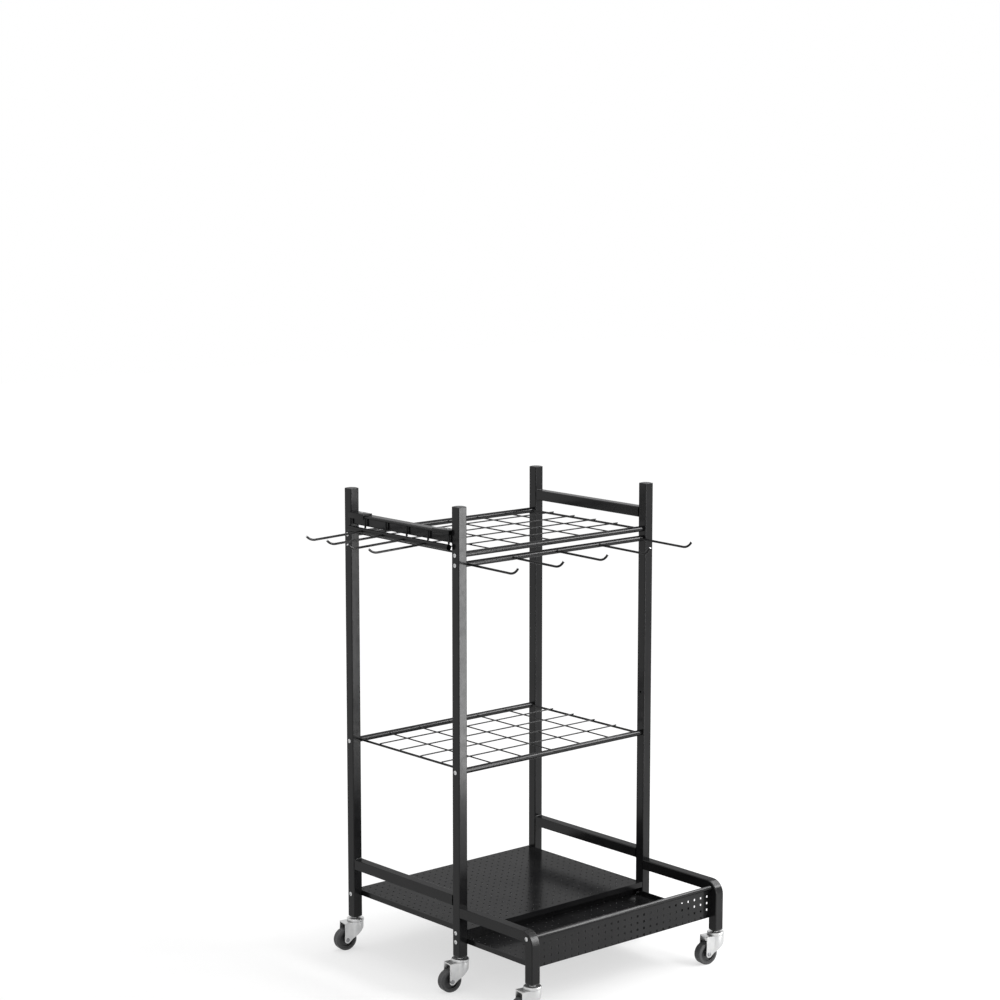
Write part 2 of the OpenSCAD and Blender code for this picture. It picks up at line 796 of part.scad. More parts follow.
module fork(index) {
    color(zinc) at_caster(index) difference() {
        intersection() {
            linear_extrude(height = fork_top) fork_plan(0, fork_reach);
            across(-fork_r, fork_r) fork_outline();
        }
        translate([0, 0, -over])
            linear_extrude(height = fork_under + over) fork_plan(fork_t, fork_reach + over);
        translate([0, 0, fork_under - over])
            cylinder(d = kingpin_d + 2 * run_fit, h = fork_top_t + 2 * over, $fn = fine);
        translate([trail, -axle_end, axle_z]) bar_y(axle_d + 2 * run_fit, 2 * axle_end);
    }
}

module axle(index) {
    color(zinc) at_caster(index) translate([trail, 0, axle_z]) {
        translate([0, -axle_end, 0]) bar_y(axle_d, 2 * axle_end);
        translate([0, -axle_end, 0]) bar_y(axle_head_d, axle_head_t);
        translate([0, fork_out, 0]) bar_y(axle_head_d, axle_head_t);
    }
}

// Half section of the wheel's hub, with its boss and a hollow on both sides
module hub_half() {
    rim_r = wheel_d / 2 - tyre_t;
    bore_r = axle_d / 2 + run_fit;
    boss_half = fork_in - face_gap;
    rim_half = wheel_w / 2 - hub_rim_inset;
    translate([bore_r, -boss_half]) square([hub_boss_d / 2 - bore_r, 2 * boss_half]);
    translate([bore_r, -hub_web_t / 2]) square([rim_r - bore_r, hub_web_t]);
    translate([rim_r - hub_rim_t, -rim_half]) square([hub_rim_t, 2 * rim_half]);
}

module hub(index) {
    color(black_plastic) at_caster(index) translate([trail, 0, axle_z])
        rotate([-90, 0, 0]) rotate_extrude($fn = fine) hub_half();
}

// Half section of the tyre
module tyre_half() {
    outer = wheel_d / 2;
    half = wheel_w / 2;
    translate([outer - tyre_t, -half]) square([tyre_t - tyre_edge, wheel_w]);
    translate([outer - tyre_t, -half + tyre_edge]) square([tyre_t, wheel_w - 2 * tyre_edge]);
    for (s = [-1, 1])
        translate([outer - tyre_edge, s * (half - tyre_edge)]) circle(r = tyre_edge, $fn = wire_fine);
}

module tyre(index) {
    color(dark_rubber) at_caster(index) translate([trail, 0, axle_z])
        rotate([-90, 0, 0]) rotate_extrude($fn = fine) tyre_half();
}

post(0);  // post_front_left
post(1);  // post_front_right
post(2);  // post_rear_left
post(3);  // post_rear_right
side_rail(left_x, top_rail_z, clip_places);  // top_rail_left
side_rail(right_x, top_rail_z);  // top_rail_right
side_rail(left_x, bottom_rail_z);  // bottom_rail_left
side_rail(right_x, bottom_rail_z);  // bottom_rail_right
tray_rail(left_x);  // tray_rail_left
tray_rail(right_x);  // tray_rail_right
cross_tube(front_y, upper_z);  // upper_front_tube
cross_tube(rear_y, upper_z);  // upper_rear_tube
cross_tube(front_y, hook_bar_z);  // hook_bar
cross_tube(front_y, mid_z);  // mid_front_tube
cross_tube(rear_y, mid_z);  // mid_rear_tube
grid_rods(upper_z);  // upper_grid_rods
grid_long_wires(upper_z);  // upper_grid_long_wires
grid_cross_wires(upper_z);  // upper_grid_cross_wires
grid_rods(mid_z);  // mid_grid_rods
grid_long_wires(mid_z);  // mid_grid_long_wires
grid_cross_wires(mid_z);  // mid_grid_cross_wires
front_hooks();
shelf();
tray();
side_rack_tube();
side_rack_wires();
side_hooks();
rack_clips();
post_caps();
leg_plugs();
frame_screws();
tray_screws();
clip_screws();
caster_stems();
for (i = [0 : len(corners) - 1]) {
    fork(i);
    axle(i);
    hub(i);
    tyre(i);
}
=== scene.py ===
"""Freestanding garden tool rack: finishes, welds, bright cut ends, casters, stage and camera.

Everything is in metres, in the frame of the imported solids: X runs across the rack,
the front faces -Y and Z is up.
"""

import json
import logging
from dataclasses import dataclass
from enum import Enum
from math import atan2, cos, hypot, pi, radians, sin
from typing import Callable, Iterable

import bpy
from mathutils import Matrix, Vector


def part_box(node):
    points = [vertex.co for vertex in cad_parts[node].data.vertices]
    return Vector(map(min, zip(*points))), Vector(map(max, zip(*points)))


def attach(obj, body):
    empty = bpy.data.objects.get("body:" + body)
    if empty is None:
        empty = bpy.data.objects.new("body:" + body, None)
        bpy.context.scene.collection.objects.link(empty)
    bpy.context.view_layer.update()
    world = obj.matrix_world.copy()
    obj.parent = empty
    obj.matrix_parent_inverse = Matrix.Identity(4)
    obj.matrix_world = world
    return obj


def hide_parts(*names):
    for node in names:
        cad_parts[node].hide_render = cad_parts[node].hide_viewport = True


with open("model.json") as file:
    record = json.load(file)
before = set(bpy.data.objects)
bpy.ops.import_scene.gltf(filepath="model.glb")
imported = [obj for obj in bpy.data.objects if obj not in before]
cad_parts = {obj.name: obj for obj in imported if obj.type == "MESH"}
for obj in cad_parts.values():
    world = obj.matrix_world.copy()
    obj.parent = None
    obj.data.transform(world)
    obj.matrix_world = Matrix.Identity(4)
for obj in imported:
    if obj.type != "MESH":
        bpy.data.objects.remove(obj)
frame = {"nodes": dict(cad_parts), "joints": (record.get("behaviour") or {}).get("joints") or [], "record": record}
log = logging.getLogger("tool_rack")

Pair = tuple[float, float]
Triple = tuple[float, float, float]

MM = 0.001
ROOT_BODY = "rack"
CASTER_PLACES = ("front_left", "front_right", "rear_left", "rear_right", "tray_left", "tray_right")
# Range in which most values of a noise lie
NOISE_SPAN = (0.3, 0.7)
WHITE = (1, 1, 1, 1)
BLACK = (0, 0, 0, 1)


class Slot(Enum):
    """Material slots of the record."""

    COAT = "coat"
    ZINC = "zinc"
    PLASTIC = "plastic"
    HUB = "hub"
    TYRE = "tyre"


def middle(node: str) -> Vector:
    """Middle of a node's box."""
    low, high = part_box(node)
    return (low + high) / 2


def size(node: str) -> Vector:
    """Size of a node's box."""
    low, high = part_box(node)
    return high - low


@dataclass(frozen=True)
class Grain:
    """Noise on object coordinates: cells to the metre, octaves, their roughness and a stretch."""

    scale: float
    detail: float = 2.0
    roughness: float = 0.5
    stretch: Triple = (1.0, 1.0, 1.0)


@dataclass(frozen=True)
class Relief:
    """Fine relief that follows a grain. Its depth is in metres."""

    grain: Grain
    depth: float
    strength: float


class NodeSheet:
    """Node tree of a material or of the world, written as a row of short calls."""

    def __init__(self, holder: bpy.types.Material | bpy.types.World, output: str) -> None:
        """Empties the tree and adds its output node.

        Args:
            holder: The material or the world that owns the tree.
            output: The output node's type.
        """
        holder.use_nodes = True
        self.tree = holder.node_tree
        self.tree.nodes.clear()
        self.output = self.add(output)

    def add(self, kind: str, **inputs: object) -> bpy.types.Node:
        """Adds a node and sets its inputs.

        Args:
            kind: The node's type.
            inputs: Values by input name, with underscores for spaces.

        Returns:
            The new node.
        """
        node = self.tree.nodes.new(kind)
        for name, value in inputs.items():
            node.inputs[name.replace("_", " ")].default_value = value
        return node

    def link(self, source: bpy.types.NodeSocket, target: bpy.types.NodeSocket) -> None:
        """Joins an output to an input."""
        self.tree.links.new(source, target)

    def end(self, shader: bpy.types.Node) -> None:
        """Joins a shader to the tree's output."""
        self.link(shader.outputs[0], self.output.inputs["Surface"])

    def coordinates(self, stretch: Triple = (1.0, 1.0, 1.0)) -> bpy.types.NodeSocket:
        """Object coordinates, stretched.

        Args:
            stretch: Scale along each axis.

        Returns:
            The mapped vector.
        """
        source = self.add("ShaderNodeTexCoord")
        mapping = self.add("ShaderNodeMapping", Scale=stretch)
        self.link(source.outputs["Object"], mapping.inputs["Vector"])
        return mapping.outputs["Vector"]

    def noise(self, grain: Grain) -> bpy.types.NodeSocket:
        """Noise of a grain.

        Args:
            grain: The grain.

        Returns:
            The noise value.
        """
        node = self.add(
            "ShaderNodeTexNoise",
            Scale=grain.scale,
            Detail=grain.detail,
            Roughness=grain.roughness,
        )
        self.link(self.coordinates(grain.stretch), node.inputs["Vector"])
        return node.outputs["Fac"]

    def ramp(self, value: bpy.types.NodeSocket, span: Pair, out: Pair) -> bpy.types.NodeSocket:
        """Maps a value from one range to another and clamps it.

        Args:
            value: The value.
            span: The range of the value.
            out: The range that it is mapped to.

        Returns:
            The mapped value.
        """
        node = self.add("ShaderNodeMapRange")
        for name, bound in zip(("From Min", "From Max", "To Min", "To Max"), (*span, *out)):
            node.inputs[name].default_value = bound
        self.link(value, node.inputs["Value"])
        return node.outputs["Result"]

    def seen_by(self, *rays: str) -> bpy.types.NodeSocket:
        """Tells some kinds of ray from all others.

        Args:
            rays: Names of the kinds of ray.

        Returns:
            1 for these kinds, 0 for the others.
        """
        path = self.add("ShaderNodeLightPath")
        seen = path.outputs[rays[0]]
        for ray in rays[1:]:
            either = self.add("ShaderNodeMath")
            either.operation = "MAXIMUM"
            self.link(seen, either.inputs[0])
            self.link(path.outputs[ray], either.inputs[1])
            seen = either.outputs[0]
        return seen

    def choose(
        self, factor: bpy.types.NodeSocket, first: bpy.types.Node, second: bpy.types.Node
    ) -> bpy.types.Node:
        """Chooses between two shaders.

        Args:
            factor: 0 for the first shader, 1 for the second.
            first: The first shader.
            second: The second shader.

        Returns:
            The mix of both.
        """
        mix = self.add("ShaderNodeMixShader")
        for place, source in enumerate((factor, first.outputs[0], second.outputs[0])):
            self.link(source, mix.inputs[place])
        return mix


class FinishSheet(NodeSheet):
    """Node tree of a finish: one principled shader with a colour, a roughness and a relief."""

    def __init__(self, name: str, **inputs: object) -> None:
        """Starts the finish.

        Args:
            name: The material's name.
            inputs: Values of the shader's inputs, as in add.
        """
        self.material = bpy.data.materials.new(name)
        super().__init__(self.material, "ShaderNodeOutputMaterial")
        self.shader = self.add("ShaderNodeBsdfPrincipled", **inputs)
        self.end(self.shader)

    def paint(
        self, pattern: bpy.types.NodeSocket, span: Pair, tones: tuple[Triple, Triple]
    ) -> None:
        """Gives the finish a colour that follows a pattern.

        Args:
            pattern: The pattern's value.
            span: The values between which the colour changes.
            tones: The colours at both ends, linear.
        """
        # A colour mix has its colours on inputs 6 and 7 and its result on output 2
        mix = self.add("ShaderNodeMix")
        mix.data_type = "RGBA"
        mix.inputs[6].default_value = (*tones[0], 1)
        mix.inputs[7].default_value = (*tones[1], 1)
        self.link(self.ramp(pattern, span, (0, 1)), mix.inputs[0])
        self.link(mix.outputs[2], self.shader.inputs["Base Color"])

    def roughen(self, pattern: bpy.types.NodeSocket, span: Pair, roughness: Pair) -> None:
        """Gives the finish a roughness that follows a pattern.

        Args:
            pattern: The pattern's value.
            span: The values between which the roughness changes.
            roughness: The roughness at both ends.
        """
        self.link(self.ramp(pattern, span, roughness), self.shader.inputs["Roughness"])

    def emboss(self, *reliefs: Relief) -> None:
        """Lays reliefs over one another.

        Args:
            reliefs: The reliefs, the lowest first.
        """
        below = None
        for relief in reliefs:
            bump = self.add("ShaderNodeBump", Strength=relief.strength, Distance=relief.depth)
            self.link(self.noise(relief.grain), bump.inputs["Height"])
            if below is not None:
                self.link(below, bump.inputs["Normal"])
            below = bump.outputs["Normal"]
        self.link(below, self.shader.inputs["Normal"])


@dataclass(frozen=True)
class PowderCoat:
    """Black semi-gloss powder coat on steel."""

    tones: tuple[Triple, Triple] = ((0.0075, 0.0075, 0.0080), (0.0120, 0.0120, 0.0125))
    clouds: Grain = Grain(14, detail=4)
    rub: Grain = Grain(60, detail=3, roughness=0.6)
    rub_span: Pair = (0.3, 0.75)
    roughness: Pair = (0.15, 0.22)
    gloss: float = 0.22
    grazing_gloss: float = 0.02
    facing_blend: float = 0.5
    facing_span: Pair = (0.34, 0.66)
    orange_peel: Relief = Relief(Grain(700, detail=1), 0.08 * MM, 0.10)
    flow_marks: Relief = Relief(Grain(90, detail=1), 0.2 * MM, 0.06)

    def build(self) -> bpy.types.Material:
        """Makes the material: cloudy black with orange peel, duller at a grazing angle."""
        sheet = FinishSheet("black powder coat", Specular_IOR_Level=self.gloss)
        facing = sheet.add("ShaderNodeLayerWeight", Blend=self.facing_blend).outputs["Facing"]
        level = sheet.ramp(facing, self.facing_span, (self.gloss, self.grazing_gloss))
        sheet.link(level, sheet.shader.inputs["Specular IOR Level"])
        sheet.paint(sheet.noise(self.clouds), NOISE_SPAN, self.tones)
        sheet.roughen(sheet.noise(self.rub), self.rub_span, self.roughness)
        sheet.emboss(self.orange_peel, self.flow_marks)
        return sheet.material


@dataclass(frozen=True)
class ZincPlate:
    """Bright zinc plating on pressed steel."""

    tones: tuple[Triple, Triple] = ((0.54, 0.545, 0.55), (0.60, 0.60, 0.595))
    clouds: Grain = Grain(90, detail=4, roughness=0.6)
    cloud_span: Pair = (0.32, 0.68)
    sheen: Grain = Grain(240, detail=3)
    roughness: Pair = (0.30, 0.40)
    drawing_lines: Relief = Relief(Grain(1500, detail=1, stretch=(1, 1, 0.06)), 0.05 * MM, 0.15)

    def build(self) -> bpy.types.Material:
        """Makes the material: cloudy grey metal with fine drawing lines."""
        sheet = FinishSheet("bright zinc plate", Metallic=1.0)
        sheet.paint(sheet.noise(self.clouds), self.cloud_span, self.tones)
        sheet.roughen(sheet.noise(self.sheen), NOISE_SPAN, self.roughness)
        sheet.emboss(self.drawing_lines)
        return sheet.material


@dataclass(frozen=True)
class BareSteel:
    """Bare steel with the lines of the saw or of the press."""

    name: str = "bare cut steel"
    tones: tuple[Triple, Triple] = ((0.55, 0.55, 0.56), (0.74, 0.74, 0.75))
    tone_span: Pair = (0.35, 0.65)
    roughness: Pair = (0.28, 0.45)
    lines: Relief = Relief(Grain(2600, detail=2, stretch=(0.1, 1, 1)), 0.04 * MM, 0.3)

    def build(self) -> bpy.types.Material:
        """Makes the material: bright metal with lines across it."""
        sheet = FinishSheet(self.name, Metallic=1.0)
        marks = sheet.noise(self.lines.grain)
        sheet.paint(marks, self.tone_span, self.tones)
        sheet.roughen(marks, NOISE_SPAN, self.roughness)
        sheet.emboss(self.lines)
        return sheet.material


@dataclass(frozen=True)
class MouldedPlastic:
    """Black moulded plastic with a fine grain."""

    name: str = "black moulded plastic"
    tones: tuple[Triple, Triple] = ((0.017, 0.017, 0.018), (0.027, 0.027, 0.028))
    clouds: Grain = Grain(45, detail=3)
    wear: Grain = Grain(160, detail=2)
    roughness: Pair = (0.42, 0.58)
    mould_grain: Relief = Relief(Grain(1800, detail=1), 0.1 * MM, 0.25)

    def build(self) -> bpy.types.Material:
        """Makes the material: matt black with a moulded grain."""
        sheet = FinishSheet(self.name)
        sheet.paint(sheet.noise(self.clouds), NOISE_SPAN, self.tones)
        sheet.roughen(sheet.noise(self.wear), NOISE_SPAN, self.roughness)
        sheet.emboss(self.mould_grain)
        return sheet.material


@dataclass(frozen=True)
class WheelRubber:
    """Charcoal rubber of the wheels, a little dusty."""

    tones: tuple[Triple, Triple] = ((0.055, 0.055, 0.058), (0.095, 0.094, 0.092))
    dust: Grain = Grain(70, detail=5, roughness=0.65)
    dust_span: Pair = (0.45, 0.75)
    roughness: Pair = (0.45, 0.65)
    rubber_grain: Relief = Relief(Grain(2200, detail=2), 0.1 * MM, 0.3)

    def build(self) -> bpy.types.Material:
        """Makes the material: charcoal with dusty patches and a fine grain."""
        sheet = FinishSheet("charcoal rubber")
        dust = sheet.noise(self.dust)
        sheet.paint(dust, self.dust_span, self.tones)
        sheet.roughen(dust, NOISE_SPAN, self.roughness)
        sheet.emboss(self.rubber_grain)
        return sheet.material


class Finishes:
    """The rack's materials, each made once."""

    def __init__(self) -> None:
        """Makes every material."""
        self.by_slot: dict[Slot, bpy.types.Material] = {
            Slot.COAT: PowderCoat().build(),
            Slot.ZINC: ZincPlate().build(),
            Slot.PLASTIC: MouldedPlastic().build(),
            Slot.HUB: MouldedPlastic(
                name="dark hub plastic", tones=((0.030, 0.030, 0.032), (0.045, 0.045, 0.047))
            ).build(),
            Slot.TYRE: WheelRubber().build(),
        }
        self.cut_end = BareSteel().build()
        self.rivet = BareSteel(
            name="dark rivet steel", tones=((0.20, 0.20, 0.21), (0.30, 0.30, 0.31))
        ).build()

    def dress_solids(self) -> None:
        """Gives every solid the material of its slot."""
        for part in frame["record"]["subparts"]:
            solid = frame["nodes"][part["node"]]
            material = self.by_slot[Slot(part["material_slot"])]
            for holder in solid.material_slots:
                holder.material = material
            if not solid.material_slots:
                solid.data.materials.append(material)
        log.info("dressed %d solids", len(frame["nodes"]))

    def place(
        self,
        piece: bpy.types.Object,
        name: str,
        body: str,
        slot: Slot,
        smooth: float,
        material: bpy.types.Material | None = None,
    ) -> None:
        """Names a finished piece, dresses it and lets it ride on its body.

        Args:
            piece: The piece.
            name: Its name.
            body: The body that it moves with.
            slot: The record's slot of its finish.
            smooth: Angle in degrees under which its faces are smooth.
            material: Its material, where it isn't the slot's own.
        """
        piece.name = name
        piece.data.name = name
        piece.data.materials.clear()
        piece.data.materials.append(material or self.by_slot[slot])
        select_only(piece)
        bpy.ops.object.shade_smooth_by_angle(angle=radians(smooth))
        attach(piece, body)
        log.info("%s: %d faces on %s", name, len(piece.data.polygons), body)


def select_only(*objects: bpy.types.Object) -> None:
    """Selects some objects alone and makes the first one active.

    Args:
        objects: The objects.
    """
    bpy.ops.object.select_all(action="DESELECT")
    for item in objects:
        item.select_set(True)
    bpy.context.view_layer.objects.active = objects[0]


def edit(item: bpy.types.Object, work: Callable[[], None]) -> None:
    """Does some work in edit mode with the whole mesh selected.

    Args:
        item: The object.
        work: What to do in edit mode.
    """
    select_only(item)
    bpy.ops.object.mode_set(mode="EDIT")
    bpy.ops.mesh.select_all(action="SELECT")
    work()
    bpy.ops.object.mode_set(mode="OBJECT")


def copy_at(item: bpy.types.Object, matrix: Matrix) -> bpy.types.Object:
    """Copies an object with its own mesh and moves the copy's mesh by a matrix.

    Args:
        item: The object to copy.
        matrix: Where the copy goes.

    Returns:
        The copy.
    """
    copy = item.copy()
    copy.data = item.data.copy()
    copy.parent = None
    bpy.context.scene.collection.objects.link(copy)
    copy.data.transform(matrix)
    return copy


def scatter(master: bpy.types.Object, places: Iterable[Matrix]) -> list[bpy.types.Object]:
    """Copies an object to some places and removes the object itself.

    Args:
        master: The object to copy.
        places: Where the copies go.

    Returns:
        The copies.
    """
    copies = [copy_at(master, place) for place in places]
    bpy.data.objects.remove(master)
    return copies


def join(items: list[bpy.types.Object]) -> bpy.types.Object:
    """Joins objects into the first one.

    Args:
        items: The objects.

    Returns:
        The joined object.
    """
    select_only(*items)
    if len(items) > 1:
        bpy.ops.object.join()
    return bpy.context.view_layer.objects.active


def turn_to(direction: Vector, place: Vector) -> Matrix:
    """Matrix that turns +Z to a direction and moves the origin to a place."""
    return Matrix.Translation(place) @ direction.to_track_quat("Z", "Y").to_matrix().to_4x4()


def spread(values: Iterable[float], gap: float) -> list[float]:
    """Middles of the clusters in a list of numbers.

    Args:
        values: The numbers.
        gap: Distance that parts two clusters.

    Returns:
        The middle of each cluster, in order.
    """
    clusters: list[list[float]] = []
    for value in sorted(values):
        if clusters and value - clusters[-1][-1] < gap:
            clusters[-1].append(value)
        else:
            clusters.append([value])
    return [(cluster[0] + cluster[-1]) / 2 for cluster in clusters]


def bar_places(node: str, along: Vector, gap: float) -> list[float]:
    """Places of the parallel bars that one node holds.

    Args:
        node: The node.
        along: The direction in which the bars follow one another.
        gap: Distance that parts two bars.

    Returns:
        The middle of each bar along that direction, in order.
    """
    return spread((v.co.dot(along) for v in frame["nodes"][node].data.vertices), gap)


def spin_profile(profile: list[Pair], steps: int) -> bpy.types.Object:
    """Draws an outline of (radius, height) points by extrusion and spins it about +Z.

    Args:
        profile: The outline's points. It is closed, or starts and ends on the axis.
        steps: Steps around.

    Returns:
        The closed solid.
    """
    seam, sliver = 0.01 * MM, 0.001 * MM
    bpy.ops.object.select_all(action="DESELECT")
    bpy.ops.mesh.primitive_plane_add(size=MM)
    piece = bpy.context.active_object

    def draw_and_spin() -> None:
        """Shrinks the plane to a point, extrudes it along the outline and spins that."""
        bpy.ops.mesh.merge(type="CENTER")
        bpy.ops.transform.translate(value=(profile[0][0], 0.0, profile[0][1]))
        for start, end in zip(profile, profile[1:]):
            step = (end[0] - start[0], 0.0, end[1] - start[1])
            bpy.ops.mesh.extrude_region_move(TRANSFORM_OT_translate={"value": step})
        bpy.ops.mesh.select_all(action="SELECT")
        bpy.ops.mesh.remove_doubles(threshold=seam)
        bpy.ops.mesh.spin(steps=steps, angle=2 * pi, center=(0, 0, 0), axis=(0, 0, 1))
        bpy.ops.mesh.select_all(action="SELECT")
        bpy.ops.mesh.remove_doubles(threshold=seam)
        bpy.ops.mesh.dissolve_degenerate(threshold=sliver)
        bpy.ops.mesh.normals_make_consistent(inside=False)

    edit(piece, draw_and_spin)
    return piece


@dataclass(frozen=True)
class RoundedEdges:
    """How a solid's sharp edges are softened in the piece that stands for it."""

    width: float
    segments: int = 2
    angle: float = 40.0
    same_corner: float = 0.005 * MM
    flat_angle: float = 0.5

    def copy_of(self, node: str) -> bpy.types.Object:
        """Copies a solid, closes the copy's mesh and rounds its edges.

        Args:
            node: The solid's node.

        Returns:
            The rounded copy.
        """
        piece = copy_at(frame["nodes"][node], Matrix.Identity(4))
        edit(piece, self._close)
        bevel = piece.modifiers.new("rounded edges", "BEVEL")
        bevel.width = self.width
        bevel.segments = self.segments
        bevel.limit_method = "ANGLE"
        bevel.angle_limit = radians(self.angle)
        select_only(piece)
        bpy.ops.object.modifier_apply(modifier=bevel.name)
        return piece

    def _close(self) -> None:
        """Merges the corners of the triangles and clears the edges across flat faces."""
        bpy.ops.mesh.remove_doubles(threshold=self.same_corner)
        bpy.ops.mesh.dissolve_limited(angle_limit=radians(self.flat_angle))
        bpy.ops.mesh.normals_make_consistent(inside=False)


@dataclass(frozen=True)
class HookRow:
    """Row of hooks that point one way from one bar.

    To find a tip, reach_weight weighs how far out a face lies, in metres, against how it
    leans. Faces whose normals have a cosine above same_way count as one flat face.
    """

    hooks: str
    bar: str
    welds: str
    out: Triple
    wire: float = 5 * MM
    reach_weight: float = 20.0
    same_way: float = 0.9999

    def along(self) -> Vector:
        """Direction in which the row runs."""
        return Vector((abs(self.out[1]), abs(self.out[0]), 0))

    def places(self) -> list[float]:
        """Places of the hooks along the row."""
        return bar_places(self.hooks, self.along(), self.wire)

    def feet(self, seat: float) -> list[Matrix]:
        """Where the hooks leave their bar.

        Args:
            seat: How deep these places lie under the bar's face.

        Returns:
            One place for each hook, with +Z turned outwards.
        """
        out, along = Vector(self.out), self.along()
        foot = middle(self.bar) + out * (size(self.bar).z / 2 - seat)
        return [turn_to(out, foot + along * (at - foot.dot(along))) for at in self.places()]

    def tips(self) -> list[Matrix]:
        """Middles of the flat faces at the hooks' upturned ends.

        The face at a tip is the one that reaches farthest out and leans outwards and up.

        Returns:
            One place for each hook, with +Z turned out of the face.
        """
        mesh = frame["nodes"][self.hooks].data
        out, along = Vector(self.out), self.along()
        lean = (out + Vector((0, 0, 1))) / 2
        tips = []
        for place in self.places():
            near = [f for f in mesh.polygons if abs(f.center.dot(along) - place) < self.wire]
            scores = [f.normal.dot(lean) + f.center.dot(out) * self.reach_weight for f in near]
            tip = near[scores.index(max(scores))]
            flat = [
                face for face in near
                if face.normal.dot(tip.normal) > self.same_way
                and (face.center - tip.center).length < self.wire
            ]
            corners = [mesh.vertices[i].co for face in flat for i in face.vertices]
            centre = Vector([(min(axis) + max(axis)) / 2 for axis in zip(*corners)])
            tips.append(turn_to(tip.normal, centre))
        return tips


FRONT_HOOKS = HookRow("front_hooks", "hook_bar", "front_hook_welds", (0, -1, 0))
SIDE_HOOKS = HookRow("side_hooks", "side_rack_tube", "side_hook_welds", (-1, 0, 0))


@dataclass(frozen=True)
class WeldBead:
    """Ring of weld that fills the corner between two pieces.

    The ring is a torus whose middle line lies outside the inner piece by a share of the
    leg, the overhang. Its inner side is squeezed, its top is flattened and ripples run
    around it. A square ring reaches corner_reach times as far at its corners.
    """

    leg: float = 1.6 * MM
    ripples: int = 36
    ripple: float = 0.18
    round_steps: int = 8
    overhang: float = 0.25
    inner_squeeze: float = 0.3
    flattening: float = 0.9
    sink: float = 0.05 * MM
    corner_reach: float = 1.28

    def ring(self, radius: float, square: float = 0.0) -> bpy.types.Object:
        """Models one ring about +Z, lying on the plane z = 0.

        Args:
            radius: Radius, or half side, of the piece inside the ring.
            square: 0 for a round ring, 1 for a square one with round corners.

        Returns:
            The ring.
        """
        bpy.ops.object.select_all(action="DESELECT")
        bpy.ops.mesh.primitive_torus_add(
            major_radius=radius + self.leg * self.overhang,
            minor_radius=self.leg,
            major_segments=self.ripples * 2,
            minor_segments=self.round_steps,
        )
        bead = bpy.context.active_object
        for vertex in bead.data.vertices:
            self._shape(vertex, radius, square)
        edit(bead, lambda: bpy.ops.mesh.normals_make_consistent(inside=False))
        return bead

    def _shape(self, vertex: bpy.types.MeshVertex, radius: float, square: float) -> None:
        """Pushes one point of the torus into the bead's rippled outline.

        Args:
            vertex: The point.
            radius: Radius, or half side, of the piece inside the ring.
            square: 0 for a round ring, 1 for a square one.
        """
        around = atan2(vertex.co.y, vertex.co.x)
        out = hypot(vertex.co.x, vertex.co.y) - radius
        wave = 1 + self.ripple * sin(self.ripples * around)
        corner = 1 / max(abs(cos(around)), abs(sin(around)))
        stretch = 1 + square * (min(corner, self.corner_reach) - 1)
        reach = radius * stretch + out * (wave if out > 0 else self.inner_squeeze)
        vertex.co.x = reach * cos(around)
        vertex.co.y = reach * sin(around)
        vertex.co.z = max(vertex.co.z, 0) * wave * self.flattening - self.sink


@dataclass
class FrameWelds:
    """Welds of the side rails, the grid rods and wires, and the hooks.

    The rails' rings are smaller than the rails by rail_bite, a share of the leg. The seats
    are how deep the small rings lie in the tubes.
    """

    finishes: Finishes
    bead: WeldBead = WeldBead()
    fine_bead: WeldBead = WeldBead(leg=0.8 * MM, ripples=10, ripple=0.10)
    rail_bite: float = 0.35
    rod_seat: float = 0.4 * MM
    hook_seat: float = 0.5 * MM
    smooth: float = 60.0

    def build(self) -> None:
        """Builds every group of welds."""
        self._rails()
        self._grid("upper_grid", "upper")
        self._grid("mid_grid", "mid")
        for row in (FRONT_HOOKS, SIDE_HOOKS):
            ring = self.fine_bead.ring(row.wire / 2)
            self._lay(scatter(ring, row.feet(self.hook_seat)), row.welds)

    def _lay(self, rings: list[bpy.types.Object], name: str) -> None:
        """Joins rings into one piece and dresses it."""
        self.finishes.place(join(rings), name, ROOT_BODY, Slot.COAT, self.smooth)

    def _rails(self) -> None:
        """Fillet welds where the side rails meet the posts."""
        places = []
        for rail in ("top_rail_left", "top_rail_right", "bottom_rail_left", "bottom_rail_right"):
            low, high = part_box(rail)
            centre = middle(rail)
            for y, way in ((low.y, 1), (high.y, -1)):
                places.append(turn_to(Vector((0, way, 0)), Vector((centre.x, y, centre.z))))
        half = size("top_rail_left").x / 2
        ring = self.bead.ring(half - self.bead.leg * self.rail_bite, square=1.0)
        self._lay(scatter(ring, places), "rail_welds")

    def _grid(self, grid: str, tubes: str) -> None:
        """Small welds at the ends of a grid's rods and of its wires from front to rear.

        Args:
            grid: The grid.
            tubes: First word in the names of the tubes that carry it.
        """
        front, rear = middle(f"{tubes}_front_tube").y, middle(f"{tubes}_rear_tube").y
        depth = size(f"{tubes}_front_tube").z / 2 - self.rod_seat
        rings = []
        for bars in (f"{grid}_rods", f"{grid}_long_wires"):
            diameter, height = size(bars).z, middle(bars).z
            places = [
                turn_to(Vector((0, way, 0)), Vector((x, tube + way * depth, height)))
                for x in bar_places(bars, Vector((1, 0, 0)), diameter)
                for tube, way in ((front, 1), (rear, -1))
            ]
            rings += scatter(self.fine_bead.ring(diameter / 2), places)
        self._lay(rings, f"{grid}_welds")


